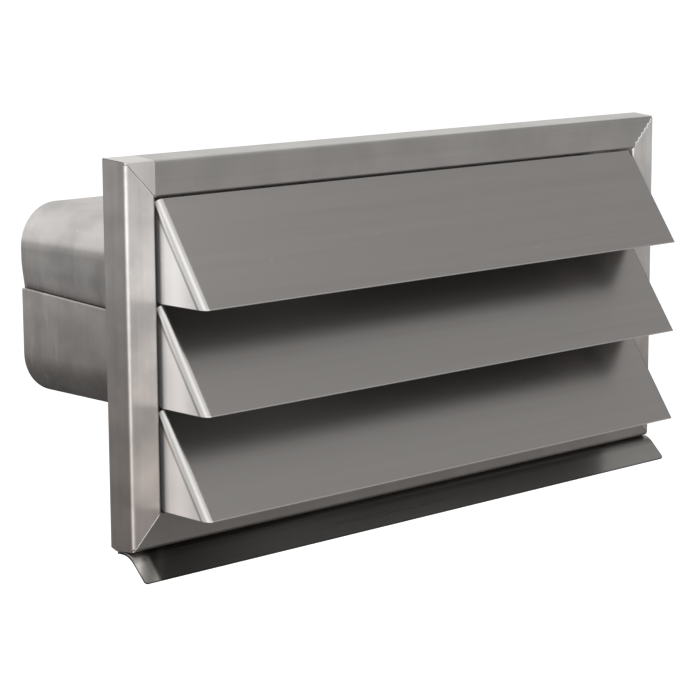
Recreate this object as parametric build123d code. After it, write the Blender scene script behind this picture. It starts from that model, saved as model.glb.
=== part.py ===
"""Outside wall vent: a mitred sheet frame with three gravity flaps, a drip strip and a flat-duct spigot.

Millimetres, +Z up. The origin is the centre of the frame on the wall's surface (y = 0). The front
faces -Y, and the duct spigot runs +Y into the wall.
"""
import os
from math import atan2, cos, degrees, hypot, radians, sin, tan

from build123d import *

# Frame: four folded members around the opening
frame_width = 330.0
frame_height = 160.0
frame_depth = 13.2
side_flare = 1.15
stile_face = 15.2
rail_face = 15.0
sheet = 0.8
fold_radius = 1.6
inner_fold_radius = 1.1
mitre_gap = 0.2
corner_pit_radius = 0.9
corner_clip_depth = 4.0
corner_clip_rise = 1.6

# Back plate, which stands on the wall inside the frame's outer returns
plate_thickness = 1.0
plate_edge_gap = 0.1
screw_margin = 19.0
screw_spacing_z = 100.0
screw_hole_radius = 2.25

# Spigot for flat duct, one sheet with a joggled lap seam on its left side
spigot_width = 222.0
spigot_height = 89.5
spigot_corner = 20.0
spigot_length = 134.3
spigot_rise = 2.75
spigot_sheet = 0.7
spigot_weld_gap = 0.1
seam_height = 6.0
seam_fall = 7.1
seam_bevel = 0.6
joggle_depth = 1.9
joggle_above = 11.5
joggle_below = 2.5
joggle_radius = 40.0
lap_tail = 9.0

# Drip strip under the bottom rail
drip_drop = 10.8
drip_reach = 9.2
drip_bend_depth = 11.5
drip_bend_radius = 11.0
drip_back_inset = 4.0
drip_end_overhang = 1.0
drip_corner_radius = 1.5
drip_weld_gap = 0.05

# Flaps
flap_count = 3
flap_projection = 29.0
flap_top_lead = 0.2
flap_head_gap = 0.7
flap_side_gap = 0.7
flap_bend_radius = 3.0
flap_stop_gap = 0.3
cheek_corner_lead = 0.4
cheek_tail_rise = 7.0
relief_width = 3.2
relief_height = 3.0

# Pivot pins
pivot_edge_margin = 0.1
pivot_drop = 9.0
pin_radius = 1.0
pin_running_gap = 0.06
pin_seat_gap = 0.02
pin_head_radius = 2.2
pin_head_thickness = 1.0
pin_head_gap = 0.3
pin_tail_radius = 1.5
pin_tail_thickness = 0.7

# Worked out from the sizes above
half_width = frame_width / 2
half_height = frame_height / 2
opening_width = frame_width - 2 * stile_face
opening_height = frame_height - 2 * rail_face
flap_pitch = opening_height / flap_count
flap_width = opening_width - 2 * flap_side_gap
flap_rise = flap_pitch - flap_head_gap
flap_run = flap_projection - flap_top_lead
flap_angle = atan2(flap_run, flap_rise)
flap_plate_length = hypot(flap_run, flap_rise)
flap_top_y = -frame_depth - flap_top_lead
pivot_y = -frame_depth + inner_fold_radius + pin_tail_radius + pivot_edge_margin
screw_spacing_x = spigot_width + 2 * screw_margin


def turn_sign(before, corner, after):
    """+1 where a path turns left at the corner, -1 where it turns right."""
    cross = (corner[0] - before[0]) * (after[1] - corner[1]) - (corner[1] - before[1]) * (after[0] - corner[0])
    return 1 if cross > 0 else -1


def left_normal(start, end):
    """The unit vector to the left of a straight run."""
    length = hypot(end[0] - start[0], end[1] - start[1])
    return (start[1] - end[1]) / length, (end[0] - start[0]) / length


def bent_sheet(path, thickness, inside_radii, side):
    """Section of a bent sheet.

    path is one face as straight runs, and the other face lies to its left (side 1) or right (side -1).
    Each corner has its inside bend radius, and the outer face of the bend is concentric with it.
    """
    normals = [left_normal(a, b) for a, b in zip(path, path[1:])]
    first, last = normals[0], normals[-1]
    shifts = [first]
    for a, b in zip(normals, normals[1:]):
        scale = 1 + a[0] * b[0] + a[1] * b[1]
        shifts.append(((a[0] + b[0]) / scale, (a[1] + b[1]) / scale))
    shifts.append(last)
    other = [(p[0] + side * thickness * s[0], p[1] + side * thickness * s[1]) for p, s in zip(path, shifts)]
    turns = [turn_sign(*corner) for corner in zip(path, path[1:], path[2:])]
    path_radii = [r + thickness if turn == side else r for r, turn in zip(inside_radii, turns)]
    other_radii = [r if turn == side else r + thickness for r, turn in zip(inside_radii, turns)]
    near = FilletPolyline(*path, radius=path_radii)
    far = FilletPolyline(*other, radius=other_radii)
    caps = [Line(path[0], other[0]), Line(path[-1], other[-1])]
    return make_face(near.edges() + far.edges() + [cap.edge() for cap in caps])


def member_section(face_width):
    """Outer return, front face and inner return of a frame member, from its outer edge inward.

    The outer return runs a little past the wall's surface, where the mitre block trims it flush.
    """
    spare = side_flare * sheet / frame_depth
    path = [
        (-side_flare - spare, -sheet),
        (0, frame_depth),
        (face_width, frame_depth),
        (face_width, plate_thickness),
    ]
    return bent_sheet(path, sheet, [fold_radius - sheet, inner_fold_radius - sheet], side=-1)


def corner_pits():
    """Small open pits where the folds of two members meet at the front corners."""
    inset = fold_radius * (1 - cos(radians(45)))
    pits = []
    for x in (-1, 1):
        for z in (-1, 1):
            place = (x * (half_width - inset), -(frame_depth - inset), z * (half_height - inset))
            pits.append(Pos(*place) * Sphere(corner_pit_radius))
    return pits


def clipped_corners():
    """Wedges that clip the returns at the two lower corners beside the wall."""
    lowest = -half_height - side_flare
    spare = sheet
    wedge = [
        (-corner_clip_depth * (1 + spare / corner_clip_rise), lowest - spare),
        (spare, lowest + corner_clip_rise * (1 + spare / corner_clip_depth)),
        (spare, lowest - spare),
    ]
    outline = make_face(Polyline(*wedge, close=True).edges())
    block = extrude(Plane.YZ * outline, amount=2 * side_flare, both=True)
    outer_x = half_width + side_flare
    return [Pos(-outer_x, 0, 0) * block, Pos(outer_x, 0, 0) * block]


def mitre_block(is_rail, sign):
    """The wedge of space between two mitre cuts that one frame member fills."""
    diagonal = hypot(stile_face, rail_face)
    along = (stile_face / diagonal, rail_face / diagonal)
    across = (-along[1], along[0]) if is_rail else (along[1], -along[0])
    inner_corner = (half_width - stile_face, half_height - rail_face)
    ends = []
    for reach in (-rail_face / 4, 2 * diagonal):
        x = inner_corner[0] + reach * along[0] + across[0] * mitre_gap / 2
        z = inner_corner[1] + reach * along[1] + across[1] * mitre_gap / 2
        ends.append((x, z))
    near, far = ends
    if is_rail:
        corners = [near, far, (-far[0], far[1]), (-near[0], near[1])]
        corners = [(x, sign * z) for x, z in corners]
    else:
        corners = [near, far, (far[0], -far[1]), (near[0], -near[1])]
        corners = [(sign * x, z) for x, z in corners]
    outline = make_face(Polyline(*corners, close=True).edges())
    return extrude(Plane.XZ * outline, amount=2 * frame_depth)


def frame_rail(sign):
    """Top rail for sign 1, bottom rail for sign -1."""
    place = Plane(origin=(0, 0, sign * half_height), x_dir=(0, 0, -sign), z_dir=(-sign, 0, 0))
    bar = extrude(place * member_section(rail_face), amount=half_width + stile_face, both=True)
    rail = (bar & mitre_block(True, sign)) - corner_pits()
    return rail - clipped_corners()


def frame_stile(sign):
    """Right stile for sign 1, left stile for sign -1, with the holes for the pivot pins."""
    place = Plane(origin=(sign * half_width, 0, 0), x_dir=(-sign, 0, 0), z_dir=(0, 0, sign))
    bar = extrude(place * member_section(stile_face), amount=half_height + rail_face, both=True)
    stile = (bar & mitre_block(False, sign)) - corner_pits() - clipped_corners()
    flange_x = sign * (opening_width / 2 + sheet / 2)
    for index in range(flap_count):
        hole = Cylinder(pin_radius + pin_seat_gap, 2 * sheet, rotation=(0, 90, 0))
        stile -= Pos(flange_x, pivot_y, pivot_height(index)) * hole
    return stile


def back_plate():
    """Flat plate on the wall with the duct cut-out and four screw holes."""
    slope = side_flare / frame_depth
    inside = side_flare - slope * plate_thickness - sheet * hypot(1, slope) - plate_edge_gap
    outline = Rectangle(frame_width + 2 * inside, frame_height + 2 * inside)
    cut_width = spigot_width + 2 * spigot_weld_gap
    cut_height = spigot_height + 2 * spigot_weld_gap
    outline -= Pos(0, spigot_rise) * RectangleRounded(cut_width, cut_height, spigot_corner + spigot_weld_gap)
    outline -= GridLocations(screw_spacing_x, screw_spacing_z, 2, 2) * Circle(screw_hole_radius)
    return extrude(Plane.XZ * outline, amount=plate_thickness)


def seam_profile(edge):
    """Section of the space above the seam's outer lap, whose bevelled edge is at that height."""
    outside, inside = -spigot_width / 2, -spigot_width / 2 + spigot_sheet + spigot_weld_gap
    above = seam_height + spigot_weld_gap
    corners = [
        (outside - spigot_sheet, edge - seam_bevel - spigot_sheet),
        (outside + seam_bevel, edge),
        (inside, edge),
        (inside, above),
        (outside - spigot_sheet, above),
    ]
    return make_face(Polyline(*corners, close=True).edges())


def duct_spigot():
    """Rounded tube bent from one sheet; its upper edge steps inward behind its lower edge at the seam.

    The seam falls from the free end toward the wall.
    """
    left, right = -spigot_width / 2, spigot_width / 2
    bottom, top = -spigot_height / 2, spigot_height / 2
    tucked = left + joggle_depth
    path = [
        (left, seam_height),
        (left, bottom),
        (right, bottom),
        (right, top),
        (left, top),
        (left, seam_height + joggle_above),
        (tucked, seam_height - joggle_below),
        (tucked, seam_height - joggle_below - lap_tail),
    ]
    corner = spigot_corner - spigot_sheet
    section = bent_sheet(path, spigot_sheet, [corner] * 4 + [joggle_radius] * 2, side=1)
    root = Plane(origin=(0, -plate_thickness, spigot_rise), x_dir=(1, 0, 0), z_dir=(0, -1, 0))
    rim = root.offset(-(spigot_length + plate_thickness))
    tube = extrude(root * section, amount=-(spigot_length + plate_thickness))
    seam_ends = [root * seam_profile(seam_height - seam_fall), rim * seam_profile(seam_height)]
    return tube - loft(seam_ends, ruled=True)


def drip_strip():
    """Strip that lies under the bottom rail, bends down and sheds water clear of the wall."""
    slope = side_flare / frame_depth

    def under_rail(depth):
        return -half_height - side_flare + slope * depth - drip_weld_gap

    path = [
        (-drip_back_inset, under_rail(drip_back_inset)),
        (-drip_bend_depth, under_rail(drip_bend_depth)),
        (-frame_depth - drip_reach, -half_height - drip_drop),
    ]
    section = bent_sheet(path, sheet, [drip_bend_radius - sheet], side=1)
    length = frame_width + 2 * drip_end_overhang
    strip = extrude(Plane.YZ * section, amount=length / 2, both=True)
    lower_edge = -half_height - drip_drop + sheet
    corners = [e for e in strip.edges() if e.center().Z < lower_edge and e.length < 2 * sheet]
    return fillet(corners, drip_corner_radius)


def flap_top_height(index):
    """Height of a flap's top edge; flap 0 is the uppermost."""
    return opening_height / 2 - index * flap_pitch - flap_head_gap


def pivot_height(index):
    """Height of a flap's pivot axis."""
    return flap_top_height(index) - pivot_drop


def flap(index):
    """One folded sheet: a sloping plate with a cheek bent back at each end, closed at rest.

    The upper right corner is relieved beside the bend.
    """
    top = flap_top_height(index)
    foot = top - flap_rise
    tip_y = -frame_depth - flap_projection
    rest_y = -plate_thickness - flap_stop_gap
    corner_y = -frame_depth - cheek_corner_lead
    down_plate = (0, -sin(flap_angle), -cos(flap_angle))
    behind_plate = (0, cos(flap_angle), -sin(flap_angle))
    cheek_depth = flap_rise + frame_depth
    half = flap_width / 2
    channel = [(-half, cheek_depth), (-half, 0), (half, 0), (half, cheek_depth)]
    section = bent_sheet(channel, sheet, [flap_bend_radius - sheet] * 2, side=1)
    up_plate = tuple(-c for c in down_plate)
    place = Plane(origin=(0, flap_top_y, top), x_dir=(1, 0, 0), z_dir=up_plate)
    body = extrude(place * section, amount=-flap_plate_length)

    head_drop = (rest_y - flap_top_y) * tan(flap_angle)
    side_view = [
        (flap_top_y - sheet, top + sheet),
        (flap_top_y, top),
        (rest_y, top - head_drop),
        (rest_y, foot + cheek_tail_rise),
        (corner_y, foot),
        (tip_y, foot),
        (tip_y - sheet, foot),
    ]
    profile = make_face(Polyline(*side_view, close=True).edges())
    body &= extrude(Plane.YZ * profile, amount=flap_width, both=True)

    for side in (-1, 1):
        hole = Cylinder(pin_radius + pin_running_gap, 4 * sheet, rotation=(0, 90, 0))
        body -= Pos(side * half, pivot_y, pivot_height(index)) * hole
    notch = Box(2 * relief_width, 4 * flap_bend_radius, 2 * relief_height)
    return body - place * (Pos(half, 0, 0) * notch)


def pivot_pin(side, index):
    """Riveted pin: head inside the cheek, shank through cheek and stile, tail behind the stile's return."""
    cheek_inside = flap_width / 2 - sheet - pin_head_gap
    tail_start = opening_width / 2 + sheet
    head = Pos(cheek_inside - pin_head_thickness / 2, 0, 0) * Cylinder(
        pin_head_radius, pin_head_thickness, rotation=(0, 90, 0)
    )
    shank_length = tail_start - cheek_inside
    shank = Pos((cheek_inside + tail_start) / 2, 0, 0) * Cylinder(pin_radius, shank_length, rotation=(0, 90, 0))
    tail = Pos(tail_start + pin_tail_thickness / 2, 0, 0) * Cylinder(
        pin_tail_radius, pin_tail_thickness, rotation=(0, 90, 0)
    )
    pin = head + shank + tail
    if side < 0:
        pin = mirror(pin, about=Plane.YZ)
    return Pos(0, pivot_y, pivot_height(index)) * pin


flap_names = ["top", "middle", "bottom"]
nodes = {
    "frame_top_rail": frame_rail(1),
    "frame_bottom_rail": frame_rail(-1),
    "frame_left_stile": frame_stile(-1),
    "frame_right_stile": frame_stile(1),
    "back_plate": back_plate(),
    "duct_spigot": duct_spigot(),
    "drip_strip": drip_strip(),
}
for index, name in enumerate(flap_names):
    nodes[f"flap_{name}"] = flap(index)
    nodes[f"pivot_pin_{name}_left"] = pivot_pin(-1, index)
    nodes[f"pivot_pin_{name}_right"] = pivot_pin(1, index)

os.makedirs("parts", exist_ok=True)
for name, solid in nodes.items():
    export_step(solid, f"parts/{name}.step")
print("flap angle from vertical", round(degrees(flap_angle), 2), "pivot y", round(pivot_y, 2))
print("pivot heights", [round(pivot_height(i), 3) for i in range(flap_count)])
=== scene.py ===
"""Looks, light and camera for the wall vent grille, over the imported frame.

Lengths are metres in the frame's own axes: +Z up, the flaps face -Y, the duct runs to +Y.
"""

import math

import bpy
from mathutils import Matrix, Vector


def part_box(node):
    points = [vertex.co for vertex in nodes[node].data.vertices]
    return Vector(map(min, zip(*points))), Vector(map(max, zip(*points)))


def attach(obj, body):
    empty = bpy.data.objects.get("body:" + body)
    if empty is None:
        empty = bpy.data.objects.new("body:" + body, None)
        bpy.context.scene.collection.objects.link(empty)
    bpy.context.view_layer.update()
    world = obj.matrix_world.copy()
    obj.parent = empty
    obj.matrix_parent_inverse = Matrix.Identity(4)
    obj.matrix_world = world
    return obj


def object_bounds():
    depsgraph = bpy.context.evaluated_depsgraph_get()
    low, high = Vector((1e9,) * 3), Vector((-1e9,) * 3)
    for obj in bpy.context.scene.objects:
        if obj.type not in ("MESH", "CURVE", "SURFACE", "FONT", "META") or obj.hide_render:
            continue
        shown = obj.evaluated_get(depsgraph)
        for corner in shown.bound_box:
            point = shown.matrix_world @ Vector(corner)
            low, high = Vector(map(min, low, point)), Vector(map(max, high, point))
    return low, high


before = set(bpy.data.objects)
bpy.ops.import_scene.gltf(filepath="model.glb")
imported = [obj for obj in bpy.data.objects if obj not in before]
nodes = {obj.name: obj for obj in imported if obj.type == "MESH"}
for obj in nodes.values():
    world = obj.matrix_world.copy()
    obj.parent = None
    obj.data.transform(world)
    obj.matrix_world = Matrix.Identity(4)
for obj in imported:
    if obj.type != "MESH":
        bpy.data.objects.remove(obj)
box_at_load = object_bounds()

along_x = (1.0, 0.0, 0.0)
along_y = (0.0, 1.0, 0.0)
along_z = (0.0, 0.0, 1.0)
white = (1.0, 1.0, 1.0)

# Camera, as worked out from the corners of the frame in the photograph. Lens and sensor are in mm.
camera_place = Vector((-0.74476, -0.75183, 0.16919))
camera_bearing = math.radians(43.52)
camera_dip = math.radians(9.97)
camera_roll = math.radians(-0.32)
camera_lens = 121.893
camera_sensor = 36.0

# Studio: a pale floor, a soft lamp in front on the left and one overhead, and grey cards and a dark
# table that only the metal sees. Bearings are degrees right of the part's front.
floor_drop = 0.30
floor_half_width = 15.0
floor_tone = 0.80
floor_lift = 0.62
world_fill = 0.55
key_bearing = -38.0
key_height = 2.0
key_distance = 1.3
key_size = (1.66, 1.00)
key_radiance = 1.6
key_back_gap = 0.03
key_back_margin = 0.06
key_back_level = 0.25
top_distance = 2.2
top_size = (2.4, 2.4)
top_radiance = 1.0
table_drop = 0.25
table_hub = 0.001
table_radii = (0.60, 1.0, 1.8, 3.5)
table_steps = 48
table_near_level = 0.07
table_sides = {
    "right": {"bearings": (-25.0, 95.0), "lip": 0.05, "levels": (0.17, 0.35, 0.46)},
    "back": {"bearings": (95.0, 285.0), "lip": 0.30, "levels": (0.06, 0.12, 0.20)},
}
duct_stop_gap = 0.06
duct_stop_level = 0.03
cards = {
    "card_right": {
        "bearing": 60.0,
        "height": 12.0,
        "distance": 2.2,
        "size": (3.6, 3.6),
        "level": 0.34,
    },
    "flag": {
        "bearing": -2.0,
        "height": -16.0,
        "distance": 1.2,
        "size": (0.68, 0.5),
        "level": 0.25,
    },
    "card_left": {
        "bearing": -92.0,
        "height": 14.0,
        "distance": 2.0,
        "size": (1.45, 1.45),
        "level": 0.22,
    },
}

# Brushed steel, warm grey. Pale and deep are the ends of its colour, spread is its anisotropy, wave
# is how far the roughness follows the grain, scratch is the strength of the fine scratches, detail
# is how fine the grain's noise goes, clouds is how far soft patches darken it, and speck_share is
# the share of places that have a bare speck.
plain_finish = {
    "metal": 1.0,
    "wave": 0.03,
    "scratch": 0.03,
    "detail": 3.0,
    "clouds": 0.0,
    "speck_share": 0.0,
}
finishes = {
    "stile": {
        "grain": along_z,
        "pale": (0.950, 0.919, 0.893),
        "deep": (0.815, 0.781, 0.755),
        "roughness": 0.44,
        "spread": 0.75,
        "metal": 0.95,
        "clouds": 0.16,
        "speck_share": 0.20,
        "seed": 1.0,
    },
    "rail": {
        "grain": along_x,
        "pale": (0.765, 0.735, 0.712),
        "deep": (0.670, 0.640, 0.617),
        "roughness": 0.34,
        "spread": 0.8,
        "clouds": 0.08,
        "speck_share": 0.15,
        "seed": 2.0,
    },
    "flap": {
        "grain": along_x,
        "pale": (0.628, 0.600, 0.578),
        "deep": (0.598, 0.570, 0.551),
        "roughness": 0.27,
        "spread": 0.6,
        "wave": 0.002,
        "scratch": 0.004,
        "detail": 0.0,
        "speck_share": 0.035,
        "seed": 3.0,
    },
    "spigot": {
        "grain": along_z,
        "pale": (0.970, 0.934, 0.905),
        "deep": (0.860, 0.826, 0.798),
        "roughness": 0.42,
        "spread": 0.85,
        "metal": 0.92,
        "clouds": 0.16,
        "speck_share": 0.06,
        "seed": 4.0,
    },
    "plate": {
        "grain": along_x,
        "pale": (0.500, 0.480, 0.464),
        "deep": (0.350, 0.336, 0.325),
        "roughness": 0.30,
        "spread": 0.5,
        "seed": 5.0,
    },
    "drip": {
        "grain": along_x,
        "pale": (0.620, 0.600, 0.570),
        "deep": (0.580, 0.560, 0.532),
        "roughness": 0.28,
        "spread": 0.6,
        "metal": 0.93,
        "wave": 0.01,
        "scratch": 0.004,
        "seed": 6.0,
    },
    "pin": {
        "grain": along_x,
        "pale": (0.650, 0.622, 0.600),
        "deep": (0.500, 0.478, 0.460),
        "roughness": 0.30,
        "spread": 0.3,
        "seed": 7.0,
    },
    "bead": {
        "grain": along_z,
        "pale": (0.860, 0.848, 0.835),
        "deep": (0.640, 0.627, 0.615),
        "roughness": 0.34,
        "spread": 0.2,
        "metal": 0.25,
        "seed": 9.0,
    },
}
# Inner faces of the left stile, the flaps and the duct are painted this dark grey, as painted
# shade.
inside_painted_shade = (0.350, 0.336, 0.325)
steel_bare = (0.960, 0.940, 0.920)

# The grain's streaks, with marks to the metre along and across it, then the soft patches and the
# specks. Here the names that end in seed are added to the piece's own seed.
broad_marks = (4.0, 200.0)
narrow_marks = (9.0, 700.0)
scratch_marks = (30.0, 2600.0)
narrow_seed = 5.0
scratch_seed = 3.0
upright_seed = 11.0
cloud_seed = 17.0
seed_steps = (1.0, 1.7, 2.3)
narrow_share = 0.45
grain_range = (0.26, 0.74)
streak_roughness = 0.6
scratch_detail = 2.0
scratch_depth = 0.0002
cloud_scale = 55.0
cloud_detail = 3.0
cloud_range = (0.36, 0.60)
speck_scale = 250.0
speck_radius = 0.0003

# Tones over a piece, mostly painted shade and painted highlight: (metres along a direction, tone)
# stops.
# Stiles: painted shade, darker toward the foot, with a real step in the polish where the foot's
# corner zone starts.
stile_shade_and_polish_tones = (
    (-0.080, (0.76, 0.71, 0.69)),
    (-0.0612, (0.74, 0.69, 0.67)),
    (-0.0606, (0.69, 0.65, 0.63)),
    (-0.045, (0.72, 0.68, 0.66)),
    (0.000, (0.78, 0.76, 0.75)),
    (0.045, (0.94, 0.94, 0.94)),
    (0.080, (0.97, 0.97, 0.97)),
)
# Painted shade: the bottom rail darker than the top one.
rail_shade_tones = ((-0.001, (0.77, 0.75, 0.74)), (0.001, white))
# Duct: painted shade, darker toward its lower and upper edges.
duct_shade_tones = (
    (-0.0435, (0.42, 0.40, 0.39)),
    (-0.0415, (0.58, 0.56, 0.55)),
    (-0.034, (0.74, 0.72, 0.71)),
    (-0.025, (0.72, 0.70, 0.69)),
    (0.000, (1.0, 0.99, 0.99)),
    (0.020, white),
    (0.035, (0.86, 0.86, 0.86)),
    (0.046, (0.68, 0.68, 0.68)),
)
# Duct: a little darker toward the frame.
duct_end_tones = (
    (0.030, (0.95, 0.95, 0.95)),
    (0.100, (0.97, 0.97, 0.97)),
    (0.130, white),
)
seam_direction = (0.0, -0.0529, 1.0)
# Painted shadow in a band above the duct's lap seam.
seam_shadow_tones = (
    (0.0009, white),
    (0.0011, (0.50, 0.50, 0.50)),
    (0.0016, (0.50, 0.50, 0.50)),
    (0.0018, (0.45, 0.44, 0.43)),
    (0.0045, (0.90, 0.90, 0.90)),
    (0.0065, white),
)
# Painted shade on the cheeks, darker lower down.
cheek_shade_tones = (
    (-0.050, (0.895, 0.874, 0.860)),
    (-0.003, (0.935, 0.918, 0.906)),
    (0.040, (0.995, 0.985, 0.978)),
)
# Painted shadow on the cheeks, darkening toward the gap at the stile.
cheek_gap_shade_tones = (
    (-0.0235, white),
    (-0.0180, (0.88, 0.88, 0.88)),
    (-0.0154, (0.62, 0.62, 0.62)),
    (-0.0145, (0.34, 0.34, 0.34)),
    (-0.0140, (0.20, 0.20, 0.20)),
)
# Painted shade at the drip strip's upper and lower edges.
drip_edge_shade_tones = (
    (-0.0914, (0.30, 0.30, 0.30)),
    (-0.0909, (0.40, 0.40, 0.40)),
    (-0.0904, white),
    (-0.0880, white),
    (-0.0845, (0.90, 0.90, 0.90)),
    (-0.0825, (0.45, 0.45, 0.45)),
)
drip_slant = 0.95
# Painted shade and highlight along the drip strip: a bright painted tip at the left end, dark to
# its right, paler further right.
drip_run_shade_tones = (
    (-0.1660, (1.0, 0.99, 0.98)),
    (-0.1650, (0.75, 0.75, 0.74)),
    (-0.1632, (0.42, 0.42, 0.41)),
    (-0.1600, (0.28, 0.28, 0.27)),
    (-0.1580, (0.32, 0.32, 0.31)),
    (-0.1557, (0.52, 0.52, 0.50)),
    (-0.1543, (0.50, 0.50, 0.48)),
    (-0.1516, (0.38, 0.38, 0.37)),
    (-0.1430, (0.38, 0.38, 0.37)),
    (-0.060, (0.86, 0.86, 0.86)),
    (0.020, white),
    (0.160, (0.84, 0.84, 0.84)),
)
drip_curl = {"start": -0.155, "end": -0.166, "drop": 0.0030}

# Areas of a piece with a tone of their own, most of them painted shade or painted highlight. A turn
# is the range of the normal's part along an axis over which the area sets in.
# Painted shade on the stiles' sides.
stile_side_painted_shade = (0.88, 0.87, 0.86)
stile_side_turn = (0.80, 0.95)
# Painted shade on faces that look up.
top_face_painted_shade = (0.74, 0.75, 0.74)
top_face_turn = (0.45, 0.85)
corner_gain = (1.26, 1.26, 1.26)
# Painted highlight along the lower lip of each flap's plate.
lip_height = 0.00045
lip_painted_highlight = (0.820, 0.795, 0.775)
# Cheeks and bends are a white half-metal, a painted sheen that stands in for their bright
# reflection.
cheek_metal = 0.45
cheek_roughness = 0.30
cheek_turn = (0.46, 0.62)
cheek_flat = 0.985
# How far the painted sheen is dimmed on the bends.
bend_tone = (0.86, 0.86, 0.85)
# Painted shade on the right-hand bend of each flap.
right_bend_painted_shade = (0.42, 0.42, 0.42)
right_bend_turn = (0.10, 0.40)
# A painted dark line beside each flap's left bend, standing in for a reflection of dark
# surroundings.
painted_bend_line_lead = 0.0001
painted_bend_line_width = 0.0013
painted_bend_line_tone = (0.540, 0.530, 0.520)
scuff_run = (0.085, 0.132)
scuff_height = (0.032, 0.022)
scuff_marks = (45.0, 380.0)
scuff_detail = 3.0
scuff_seed = 21.0
scuff_range = (0.56, 0.72)

# Weld beads on the mitres. Corner is the side and the end of the frame, and run is where the bead
# starts and ends, as shares of the mitre.
mitre_run = (0.0152, 0.0150)
beads = {
    "weld_bead_top_left": {
        "corner": (-1.0, 1.0),
        "run": (0.05, 0.62),
        "shift": -0.0005,
        "width": 0.0004,
        "rise": 0.00012,
        "zigzag": 0.00002,
        "period": 0.004,
    },
    "weld_bead_top_right": {
        "corner": (1.0, 1.0),
        "run": (0.06, 0.97),
        "shift": 0.0,
        "width": 0.0013,
        "rise": 0.00030,
        "zigzag": 0.00035,
        "period": 0.0030,
    },
    "weld_bead_bottom_left": {
        "corner": (-1.0, -1.0),
        "run": (0.05, 0.96),
        "shift": 0.0001,
        "width": 0.0004,
        "rise": 0.00015,
        "zigzag": 0.00004,
        "period": 0.003,
    },
}
bead_section = ((-1.0, 0.0), (-0.7, 0.7), (0.0, 1.0), (0.7, 0.7), (1.0, 0.0))
bead_steps = 60
bead_taper = 12.0
bead_wobble_share = 0.3
bead_wobble_rate = 2.7
bead_swell_share = 0.15
bead_swell_rate = 1.9

# Places on the part, from the frame. The lead is how far a flap's top edge stands before the rail,
# and the bend is the outer radius between its plate and a cheek.
flap_lead = 0.0002
flap_bend = 0.0030
flap_names = ("flap_top", "flap_middle", "flap_bottom")
flap_boxes = [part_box(name) for name in flap_names]
flap_low, flap_high = flap_boxes[0]
flap_pitch = flap_low.z - flap_boxes[1][0].z
lowest_foot = flap_boxes[-1][0].z
duct_low, duct_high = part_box("duct_spigot")
front_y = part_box("frame_top_rail")[0].y
opening_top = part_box("frame_top_rail")[0].z
opening_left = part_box("frame_left_stile")[1].x
drip_middle_y = (front_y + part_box("drip_strip")[0].y) / 2
flap_top = Vector((0.0, front_y - flap_lead, flap_high.z))
flap_slope = (Vector((0.0, flap_low.y, flap_low.z)) - flap_top).normalized()
flap_front = Vector((0.0, flap_slope.z, -flap_slope.y))


def add(tree, kind, inputs=None, **settings):
    """A node of that kind, with its settings made and its inputs set or linked."""
    made = tree.nodes.new(kind)
    for name, value in settings.items():
        setattr(made, name, value)
    for key, value in (inputs or {}).items():
        if isinstance(value, bpy.types.NodeSocket):
            tree.links.new(value, made.inputs[key])
        else:
            made.inputs[key].default_value = value
    return made


def number(tree, how, *values, **settings):
    """The result of that sum or comparison of one to three numbers."""
    inputs = dict(enumerate(values))
    return add(tree, "ShaderNodeMath", inputs, operation=how, **settings).outputs[0]


def blank_material(name):
    """A new material and its empty node tree."""
    material = bpy.data.materials.new(name)
    material.use_nodes = True
    material.node_tree.nodes.clear()
    return material, material.node_tree


def solid(colour):
    """A colour with full alpha, as a socket takes it."""
    return (*colour, 1.0)


def grey(level):
    """A grey of that level with full alpha."""
    return (level, level, level, 1.0)


def seen_directly(tree):
    """1 for camera, glossy and transmission rays, else 0."""
    path = add(tree, "ShaderNodeLightPath").outputs
    seen = number(tree, "MAXIMUM", path["Is Camera Ray"], path["Is Glossy Ray"])
    return number(tree, "MAXIMUM", seen, path["Is Transmission Ray"])


def mapped(tree, shift, scale=(1.0, 1.0, 1.0)):
    """The place on the piece, stretched and shifted."""
    place = add(tree, "ShaderNodeTexCoord").outputs["Object"]
    inputs = {"Vector": place, "Location": shift, "Scale": scale}
    return add(tree, "ShaderNodeMapping", inputs).outputs[0]


def dot(tree, first, second):
    """The dot product of two vectors."""
    inputs = {0: first, 1: second}
    return add(tree, "ShaderNodeVectorMath", inputs, operation="DOT_PRODUCT").outputs["Value"]


def world_direction(tree, direction):
    """A direction fixed to the piece, as the shader wants it."""
    return add(
        tree,
        "ShaderNodeVectorTransform",
        {"Vector": direction},
        vector_type="VECTOR",
        convert_from="OBJECT",
        convert_to="WORLD",
    ).outputs[0]


def across_grain(tree, grain):
    """The direction in the surface at right angles to the grain, wherever the sheet bends."""
    normal = add(tree, "ShaderNodeNewGeometry").outputs["Normal"]
    return add(
        tree,
        "ShaderNodeVectorMath",
        {0: normal, 1: world_direction(tree, grain)},
        operation="CROSS_PRODUCT",
    ).outputs[0]


def along_axis(tree, direction, of="Object"):
    """How far the place, or the normal, reaches along a direction of the piece."""
    return dot(tree, add(tree, "ShaderNodeTexCoord").outputs[of], direction)


def turned_aside(tree):
    """How far the surface turns to the left or to the right, from 0 to 1."""
    return number(tree, "ABSOLUTE", along_axis(tree, along_x, "Normal"))


def spread_out(tree, value, low, high, to_low=0.0, to_high=1.0):
    """A value stretched from one range to another and held inside it."""
    inputs = {
        "Value": value,
        "From Min": low,
        "From Max": high,
        "To Min": to_low,
        "To Max": to_high,
    }
    return add(tree, "ShaderNodeMapRange", inputs).outputs[0]


def both(tree, first, second):
    """1 where two masks are both 1."""
    return number(tree, "MULTIPLY", first, second)


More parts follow.
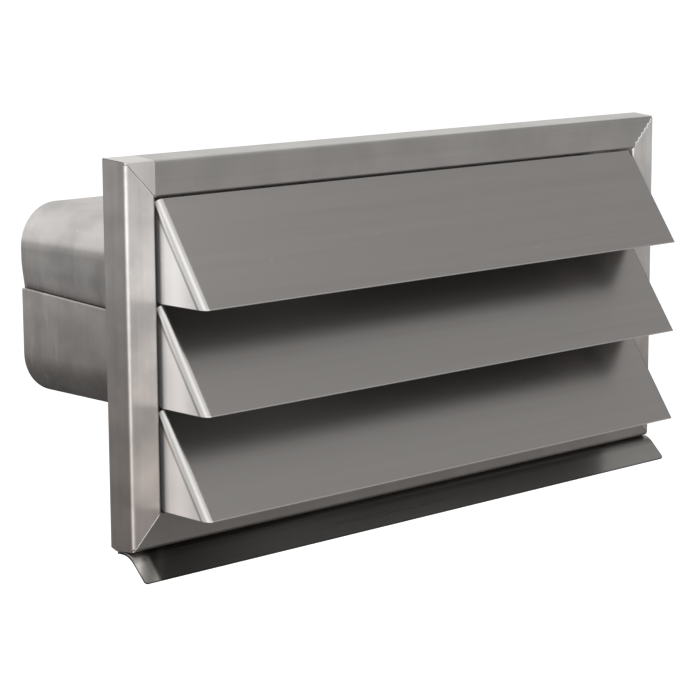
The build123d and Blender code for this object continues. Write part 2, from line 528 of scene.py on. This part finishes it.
def mixed(tree, factor, first, second, kind="FLOAT", blend="MIX"):
    """The first value where the factor is 0 and the second, or its blend, where it is 1."""
    inputs = {"Factor": factor, "A": first, "B": second}
    made = add(tree, "ShaderNodeMix", inputs, data_type=kind, blend_type=blend)
    return next(socket for socket in made.outputs if socket.enabled)


def shaded(tree, colour, tone):
    """A colour times a tone."""
    return mixed(tree, 1.0, colour, tone, "RGBA", "MULTIPLY")


def shaded_where(tree, mask, colour, tone):
    """A colour, times a tone where the mask is 1."""
    return mixed(tree, mask, colour, shaded(tree, colour, solid(tone)), "RGBA")


def replaced_where(tree, mask, colour, other):
    """A colour, or the other one where the mask is 1."""
    return mixed(tree, mask, colour, solid(other), "RGBA")


def toned(tree, colour, direction, stops):
    """A colour times the tone that the stops give along a direction."""
    low, high = stops[0][0], stops[-1][0]
    share = spread_out(tree, along_axis(tree, direction), low, high)
    made = add(tree, "ShaderNodeValToRGB", {"Fac": share})
    marks = made.color_ramp.elements
    marks[0].color, marks[-1].color = solid(stops[0][1]), solid(stops[-1][1])
    for place, tone in stops[1:-1]:
        marks.new((place - low) / (high - low)).color = solid(tone)
    return shaded(tree, colour, made.outputs["Color"])


def facing_in(tree, stretch, shift):
    """1 on faces that turn against the outward direction place * stretch + shift, else 0."""
    spot = add(tree, "ShaderNodeTexCoord").outputs
    outward = add(
        tree,
        "ShaderNodeVectorMath",
        {0: spot["Object"], 1: stretch, 2: shift},
        operation="MULTIPLY_ADD",
    ).outputs[0]
    return number(tree, "LESS_THAN", dot(tree, spot["Normal"], outward), 0.0)


def streaks(tree, grain, marks, detail, seed):
    """Noise drawn out along the grain, from 0 to 1."""
    along, across = marks
    scale = [along if part else across for part in grain]
    drawn = mapped(tree, [seed * step for step in seed_steps], scale)
    inputs = {"Vector": drawn, "Scale": 1.0, "Detail": detail, "Roughness": streak_roughness}
    return add(tree, "ShaderNodeTexNoise", inputs).outputs["Fac"]


def grain_pattern(tree, grain, seed, detail):
    """The tone of the grain from 0 to 1, and its fine scratches."""
    narrow_detail = max(0.0, detail - 1.0)
    broad = streaks(tree, grain, broad_marks, detail, seed)
    narrow = streaks(tree, grain, narrow_marks, narrow_detail, seed + narrow_seed)
    tone = spread_out(tree, mixed(tree, narrow_share, broad, narrow), *grain_range)
    return tone, streaks(tree, grain, scratch_marks, scratch_detail, seed + scratch_seed)


def specks(tree, share, seed):
    """1 on small spots scattered over the piece, else 0."""
    moved = mapped(tree, (seed, seed, seed))
    cells = add(tree, "ShaderNodeTexVoronoi", {"Vector": moved, "Scale": speck_scale}).outputs
    near = number(tree, "LESS_THAN", cells["Distance"], speck_radius * speck_scale)
    lot = add(tree, "ShaderNodeSeparateColor", {0: cells["Color"]}).outputs[0]
    return both(tree, near, number(tree, "LESS_THAN", lot, share))


def cloudy(tree, colour, amount, seed):
    """A colour that is darker in soft patches, by up to that amount."""
    moved = mapped(tree, (seed, seed, seed))
    inputs = {"Vector": moved, "Scale": cloud_scale, "Detail": cloud_detail}
    patches = add(tree, "ShaderNodeTexNoise", inputs).outputs["Fac"]
    return shaded(tree, colour, spread_out(tree, patches, *cloud_range, 1.0 - amount, 1.0))


def upper_left_corner(tree):
    """1 above the middle and left of the opening, else 0."""
    return both(
        tree,
        number(tree, "LESS_THAN", along_axis(tree, along_x), opening_left),
        number(tree, "GREATER_THAN", along_axis(tree, along_z), 0.0),
    )


def curled(tree, normal, start, end, drop):
    """A normal that turns down from one place to another along X."""
    bent = spread_out(tree, along_axis(tree, along_x), start, end)
    inputs = {
        "Height": number(tree, "POWER", bent, 2.0),
        "Strength": 1.0,
        "Distance": drop,
        "Normal": normal,
    }
    return add(tree, "ShaderNodeBump", inputs, invert=True).outputs[0]


def brushed(
    name, piece, tones=(), tangent=None, corner=False, inside=None, dress=None, curl=None
):
    """Brushed steel with that piece's finish and its grain along one axis.

    Tones are (direction, stops), mostly of painted shade and painted highlight. At the corner the
    grain is upright and paler. Faces that turn inside are painted dark, as painted shade. Dress
    changes the colour, roughness and metal of single areas.
    """
    finish = {**plain_finish, **finishes[piece]}
    grain, seed, detail = finish["grain"], finish["seed"], finish["detail"]
    material, tree = blank_material(name)
    tone, scratches = grain_pattern(tree, grain, seed, detail)
    across = world_direction(tree, tangent) if tangent else across_grain(tree, grain)
    at_corner = upper_left_corner(tree) if corner else None
    if corner:
        upright_tone, upright_scratches = grain_pattern(
            tree, along_z, seed + upright_seed, detail
        )
        tone = mixed(tree, at_corner, tone, upright_tone)
        scratches = mixed(tree, at_corner, scratches, upright_scratches)
        across = mixed(tree, at_corner, across, across_grain(tree, along_z), "VECTOR")
    colour = mixed(tree, tone, solid(finish["deep"]), solid(finish["pale"]), "RGBA")
    for direction, stops in tones:
        colour = toned(tree, colour, direction, stops)
    if finish["clouds"]:
        colour = cloudy(tree, colour, finish["clouds"], seed + cloud_seed)
    if corner:
        colour = shaded_where(tree, at_corner, colour, corner_gain)
    middle, wave, metal = finish["roughness"], finish["wave"], finish["metal"]
    rough = spread_out(tree, tone, 0.0, 1.0, middle - wave, middle + wave)
    if dress:
        colour, rough, metal = dress(tree, colour, rough, metal)
    if inside:
        # Faces that turn inside take a painted shade.
        colour = replaced_where(tree, facing_in(tree, *inside), colour, inside_painted_shade)
    if finish["speck_share"]:
        spots = specks(tree, finish["speck_share"], seed)
        colour = replaced_where(tree, spots, colour, steel_bare)
    relief = {"Height": scratches, "Strength": finish["scratch"], "Distance": scratch_depth}
    normal = add(tree, "ShaderNodeBump", relief).outputs[0]
    if curl:
        normal = curled(tree, normal, **curl)
    shader = add(
        tree,
        "ShaderNodeBsdfPrincipled",
        {
            "Base Color": colour,
            "Metallic": metal,
            "Roughness": rough,
            "Anisotropic": finish["spread"],
            "Normal": normal,
            "Tangent": across,
        },
    )
    add(tree, "ShaderNodeOutputMaterial", {"Surface": shader.outputs[0]})
    return material


def paint(material, *names):
    """Gives CAD nodes this material."""
    for name in names:
        for slot in nodes[name].material_slots:
            slot.material = material


def stile_dress(tree, colour, rough, metal):
    """The sides of a stile are painted darker than its front, as painted shade."""
    on_side = spread_out(tree, turned_aside(tree), *stile_side_turn)
    return shaded_where(tree, on_side, colour, stile_side_painted_shade), rough, metal


def paint_stiles():
    """A coarse, cloudy polish with upright grain, painted shade toward the foot and on the sides,
    and painted shade on the left stile's inner faces.
    """
    outward = {"left": (along_x, (0.0, 0.0, 0.0)), "right": None}
    for side, inside in outward.items():
        material = brushed(
            f"stile_steel_{side}",
            "stile",
            tones=((along_z, stile_shade_and_polish_tones),),
            inside=inside,
            dress=stile_dress,
        )
        paint(material, f"frame_{side}_stile")


def rail_dress(tree, colour, rough, metal):
    """The faces that look up are painted darker than the front, as painted shade."""
    upward = spread_out(tree, along_axis(tree, along_z, "Normal"), *top_face_turn)
    return shaded_where(tree, upward, colour, top_face_painted_shade), rough, metal


def paint_rails():
    """Level grain, with an upright grain at the upper left corner."""
    # The bottom rail is painted darker, as painted shade.
    tones = ((along_z, rail_shade_tones),)
    material = brushed("rail_steel", "rail", tones=tones, corner=True, dress=rail_dress)
    paint(material, "frame_top_rail", "frame_bottom_rail")


def flap_rows(tree):
    """Which flap a place is on, counted from the lowest, and how far it is above its foot."""
    height = number(tree, "ADD", along_axis(tree, along_z), -lowest_foot)
    which = number(tree, "FLOOR", number(tree, "DIVIDE", height, flap_pitch))
    return which, number(tree, "FLOORED_MODULO", height, flap_pitch)


def behind_plate(tree, which):
    """How far a place lies behind the outer face of its flap's plate."""
    step = flap_pitch * flap_front.z
    lowest = flap_top.dot(flap_front) - (len(flap_boxes) - 1) * step
    plane = number(tree, "MULTIPLY_ADD", which, step, lowest)
    return number(tree, "SUBTRACT", plane, along_axis(tree, tuple(flap_front)))


def flap_dress(tree, colour, rough, metal):
    """Painted sheen on the cheeks and bends, painted shade lower down, toward the gap and on the
    right bend, a painted dark line beside the bend, and a painted highlight on the plate's lower
    lip.
    """
    which, above_foot = flap_rows(tree)
    # Painted highlight on the plate's lower lip.
    on_lip = number(tree, "LESS_THAN", above_foot, lip_height)
    colour = replaced_where(tree, on_lip, colour, lip_painted_highlight)
    turn = turned_aside(tree)
    flat = number(tree, "GREATER_THAN", turn, cheek_flat)
    cheek = spread_out(tree, turn, *cheek_turn)
    # White painted sheen for the cheeks and bends, standing in for their bright reflection.
    painted_sheen = toned(tree, solid(white), along_z, cheek_shade_tones)
    # Painted shadow toward the gap at the stile.
    gap_shaded = toned(tree, painted_sheen, along_y, cheek_gap_shade_tones)
    painted_sheen = mixed(tree, flat, shaded(tree, painted_sheen, solid(bend_tone)), gap_shaded, "RGBA")
    behind = behind_plate(tree, which)
    # Painted dark line beside the bend.
    on_painted_bend_line = both(
        tree,
        number(tree, "GREATER_THAN", behind, flap_bend - painted_bend_line_lead),
        number(tree, "LESS_THAN", behind, flap_bend + painted_bend_line_width),
    )
    painted_sheen = shaded_where(tree, on_painted_bend_line, painted_sheen, painted_bend_line_tone)
    colour = mixed(tree, cheek, colour, painted_sheen, "RGBA")
    # Painted shade on the right-hand bend.
    turning = spread_out(tree, along_axis(tree, along_x, "Normal"), *right_bend_turn)
    right_bend = number(tree, "SUBTRACT", turning, flat, use_clamp=True)
    colour = shaded_where(tree, right_bend, colour, right_bend_painted_shade)
    rough = mixed(tree, cheek, rough, cheek_roughness)
    return colour, rough, mixed(tree, cheek, metal, cheek_metal)


def paint_flaps():
    """Soft level brushing, with a painted sheen on the cheeks and painted shade on the inner faces.
    """
    material = brushed(
        "flap_steel_brushed",
        "flap",
        tangent=tuple(flap_slope),
        inside=((1.0 / flap_high.x, 0.0, 0.0), tuple(flap_front)),
        dress=flap_dress,
    )
    paint(material, *flap_names)


def duct_dress(tree, colour, rough, metal):
    """A painted shadow in a band above the lap seam on the left, and pale scuffs near the free end.
    """
    # Painted shadow above the seam, on the left side only.
    seam_shadowed = toned(tree, colour, seam_direction, seam_shadow_tones)
    on_left = number(tree, "LESS_THAN", along_axis(tree, along_x), 0.0)
    colour = mixed(tree, on_left, colour, seam_shadowed, "RGBA")
    near_end = spread_out(tree, along_axis(tree, along_y), *scuff_run)
    on_side = spread_out(tree, along_axis(tree, along_z), *scuff_height)
    scratched = streaks(tree, along_z, scuff_marks, scuff_detail, scuff_seed)
    scratched = spread_out(tree, scratched, *scuff_range)
    scuffed = both(tree, both(tree, near_end, on_side), scratched)
    return replaced_where(tree, scuffed, colour, steel_bare), rough, metal


def paint_spigot():
    """Upright grain, with a cloudy polish, painted shade toward its lower and upper edges, a little
    darker toward the frame, and painted shade inside.
    """
    material = brushed(
        "spigot_steel_brushed",
        "spigot",
        tones=((along_z, duct_shade_tones), (along_y, duct_end_tones)),
        tangent=along_y,
        inside=((1.0, 0.0, 1.0), (0.0, 0.0, -(duct_low.z + duct_high.z) / 2)),
        dress=duct_dress,
    )
    paint(material, "duct_spigot")


def paint_drip_strip():
    """A strip with painted shade along its edges and along its run, whose left end has a painted
    highlight at its tip and looks turned down.
    """
    slanted = (1.0, -drip_slant, 0.0)
    shift = -drip_slant * drip_middle_y
    run_tones = [(place + shift, tone) for place, tone in drip_run_shade_tones]
    material = brushed(
        "drip_steel_brushed",
        "drip",
        tones=((along_z, drip_edge_shade_tones), (slanted, run_tones)),
        curl=drip_curl,
    )
    paint(material, "drip_strip")


def paint_part():
    """Gives every CAD node its finish."""
    paint_stiles()
    paint_rails()
    paint_flaps()
    paint_spigot()
    paint(brushed("plate_steel_brushed", "plate"), "back_plate")
    paint_drip_strip()
    pins = [name for name in nodes if name.startswith("pivot_pin")]
    paint(brushed("pin_steel_brushed", "pin"), *pins)


def mesh_piece(name, corners, faces):
    """A mesh object from its corners and faces."""
    mesh = bpy.data.meshes.new(name)
    mesh.from_pydata(corners, [], faces)
    made = bpy.data.objects.new(name, mesh)
    bpy.context.scene.collection.objects.link(made)
    return made


def weld_bead(name, start, end, width, rise, zigzag, period, material):
    """A thin bead of weld along a mitre on the frame's front, tapered at both ends."""
    along = end - start
    side = Vector((along.z, 0.0, -along.x)).normalized()
    corners = []
    for i in range(bead_steps + 1):
        share = i / bead_steps
        turn = 2 * math.pi * share * along.length / period
        wobble = bead_wobble_share * math.sin(bead_wobble_rate * turn)
        spot = start + along * share + side * (zigzag * (math.sin(turn) + wobble))
        taper = min(1.0, bead_taper * share, bead_taper * (1 - share))
        swell = 1.0 - bead_swell_share + bead_swell_share * math.sin(bead_swell_rate * turn)
        size = taper * swell
        for across, lift in bead_section:
            shift = side * (across * size * width / 2)
            corners.append(spot + shift + Vector((0.0, -lift * size * rise, 0.0)))
    row = len(bead_section)
    faces = [
        (i * row + j, i * row + j + 1, (i + 1) * row + j + 1, (i + 1) * row + j)
        for i in range(bead_steps)
        for j in range(row - 1)
    ]
    bead = mesh_piece(name, corners, faces)
    for face in bead.data.polygons:
        face.use_smooth = True
    bead.data.materials.append(material)
    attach(bead, "housing")


def weld_beads():
    """The beads on three of the mitres, each as far along it as the photograph shows."""
    material = brushed("weld_bead", "bead")
    for name, made in beads.items():
        across, up = made["corner"]
        near, far = made["run"]
        inner = Vector((across * -opening_left, front_y, up * opening_top))
        outer = inner + Vector((across * mitre_run[0], 0.0, up * mitre_run[1]))
        beside = Vector((made["shift"], 0.0, 0.0))
        weld_bead(
            name,
            inner.lerp(outer, near) + beside,
            inner.lerp(outer, far) + beside,
            made["width"],
            made["rise"],
            made["zigzag"],
            made["period"],
            material,
        )


def plain_world():
    """White to the eye and to the metal, a plain grey light otherwise."""
    world = bpy.data.worlds.new("studio")
    bpy.context.scene.world = world
    world.use_nodes = True
    tree = world.node_tree
    tree.nodes.clear()
    fill, bright = [
        add(tree, "ShaderNodeBackground", {"Color": solid(white), "Strength": strength}).outputs[0]
        for strength in (world_fill, 1.0)
    ]
    either = add(tree, "ShaderNodeMixShader", {0: seen_directly(tree), 1: fill, 2: bright})
    add(tree, "ShaderNodeOutputWorld", {"Surface": either.outputs[0]})


def pale_floor():
    """A floor below the part, white to the eye, which still takes the shadow."""
    side = floor_half_width
    height = box_at_load[0].z - floor_drop
    corners = [(-side, -side, height), (side, -side, height)]
    corners += [(side, side, height), (-side, side, height)]
    floor = mesh_piece("floor", corners, [(0, 1, 2, 3)])
    material, tree = blank_material("floor_pale")
    matt = add(tree, "ShaderNodeBsdfDiffuse", {"Color": grey(floor_tone)})
    strength = number(tree, "MULTIPLY", seen_directly(tree), floor_lift)
    glow = add(tree, "ShaderNodeEmission", {"Strength": strength})
    lit = add(tree, "ShaderNodeAddShader", {0: matt.outputs[0], 1: glow.outputs[0]})
    add(tree, "ShaderNodeOutputMaterial", {"Surface": lit.outputs[0]})
    floor.data.materials.append(material)


def toward(bearing, height):
    """The direction at that bearing, right of the part's front, and height, in degrees."""
    turn, lift = math.radians(bearing), math.radians(height)
    level = math.cos(lift)
    return Vector((math.sin(turn) * level, -math.cos(turn) * level, math.sin(lift)))


def soft_lamp(name, direction, distance, size, radiance, mirrored=True):
    """A rectangular soft lamp that faces the part, mirrored by the metal or not."""
    lamp = bpy.data.lights.new(name, "AREA")
    lamp.shape = "RECTANGLE"
    lamp.size, lamp.size_y = size
    lamp.energy = radiance * math.pi * size[0] * size[1]
    made = bpy.data.objects.new(name, lamp)
    bpy.context.scene.collection.objects.link(made)
    made.location = direction * distance
    made.rotation_mode = "QUATERNION"
    made.rotation_quaternion = (-direction).to_track_quat("-Z", "Y")
    made.visible_camera = False
    made.visible_glossy = mirrored


def grey_card(made, level):
    """Makes a mesh a grey of that level, which only the metal sees."""
    material, tree = blank_material(made.name + "_grey")
    glow = add(tree, "ShaderNodeEmission", {"Color": grey(level), "Strength": 1.0})
    add(tree, "ShaderNodeOutputMaterial", {"Surface": glow.outputs[0]})
    made.data.materials.append(material)
    made.visible_camera = False
    made.visible_diffuse = False
    made.visible_shadow = False


def card(name, bearing, height, distance, size, level):
    """A grey card that only the metal sees, so that it has something to mirror."""
    facing = toward(bearing, height)
    sideways = facing.cross(Vector(along_z)).normalized()
    upward = sideways.cross(facing)
    centre = facing * distance
    half_x, half_y = size[0] / 2, size[1] / 2
    corners = [
        centre + sideways * (half_x * i) + upward * (half_y * j)
        for i, j in ((-1, -1), (1, -1), (1, 1), (-1, 1))
    ]
    grey_card(mesh_piece(name, corners, [(0, 1, 2, 3)]), level)


def key_light():
    """The lamp in front on the left, and a slightly larger grey card right behind it."""
    soft_lamp("key", toward(key_bearing, key_height), key_distance, key_size, key_radiance)
    size = [side + key_back_margin for side in key_size]
    card("key_back", key_bearing, key_height, key_distance + key_back_gap, size, key_back_level)


def table_ring(name, inner, outer, level, start=0.0, end=360.0):
    """A flat or sloping ring of the dark table, from an inner to an outer (radius, height)."""
    corners = []
    for radius, height in (inner, outer):
        for i in range(table_steps + 1):
            turn = math.radians(start + (end - start) * i / table_steps)
            corners.append((radius * math.sin(turn), -radius * math.cos(turn), height))
    row = table_steps + 1
    faces = [(i, i + 1, row + i + 1, row + i) for i in range(table_steps)]
    grey_card(mesh_piece(name, corners, faces), level)


def dark_table():
    """A dark table below the part, which only the metal sees, paler toward its lip."""
    base = box_at_load[0].z - table_drop
    inner, outer = table_radii[0], table_radii[-1]
    table_ring("table_near", (table_hub, base), (inner, base), table_near_level)
    for side, made in table_sides.items():
        climb = (made["lip"] - base) / (outer - inner)
        rims = [(radius, base + climb * (radius - inner)) for radius in table_radii]
        for step, level in enumerate(made["levels"]):
            name = f"table_{side}_{step}"
            table_ring(name, rims[step], rims[step + 1], level, *made["bearings"])


def duct_stop():
    """A dark card behind the duct's open end, as if the duct went on."""
    low, high = duct_low, duct_high
    y = high.y + duct_stop_gap
    corners = [(low.x, y, low.z), (high.x, y, low.z), (high.x, y, high.z), (low.x, y, high.z)]
    grey_card(mesh_piece("duct_stop", corners, [(0, 1, 2, 3)]), duct_stop_level)


def studio():
    """The world, the floor, the lamps and what the metal mirrors."""
    plain_world()
    pale_floor()
    key_light()
    soft_lamp("top", Vector(along_z), top_distance, top_size, top_radiance, mirrored=False)
    dark_table()
    duct_stop()
    for name, made in cards.items():
        card(name, **made)


def photo_camera():
    """The camera at the photograph's place and angle."""
    data = bpy.data.cameras.new("photo_camera")
    data.lens = camera_lens
    data.sensor_width = camera_sensor
    made = bpy.data.objects.new("photo_camera", data)
    bpy.context.scene.collection.objects.link(made)
    ahead = Vector((math.sin(camera_bearing), math.cos(camera_bearing), 0.0))
    forward = ahead * math.cos(camera_dip) - Vector(along_z) * math.sin(camera_dip)
    level_right = Vector((ahead.y, -ahead.x, 0.0))
    level_up = level_right.cross(forward)
    right = level_right * math.cos(camera_roll) + level_up * math.sin(camera_roll)
    up = level_up * math.cos(camera_roll) - level_right * math.sin(camera_roll)
    turn = Matrix((right, up, -forward)).transposed()
    made.matrix_world = Matrix.Translation(camera_place) @ turn.to_4x4()
    bpy.context.scene.camera = made


paint_part()
weld_beads()
studio()
photo_camera()
bpy.context.scene.view_settings.view_transform = "Standard"
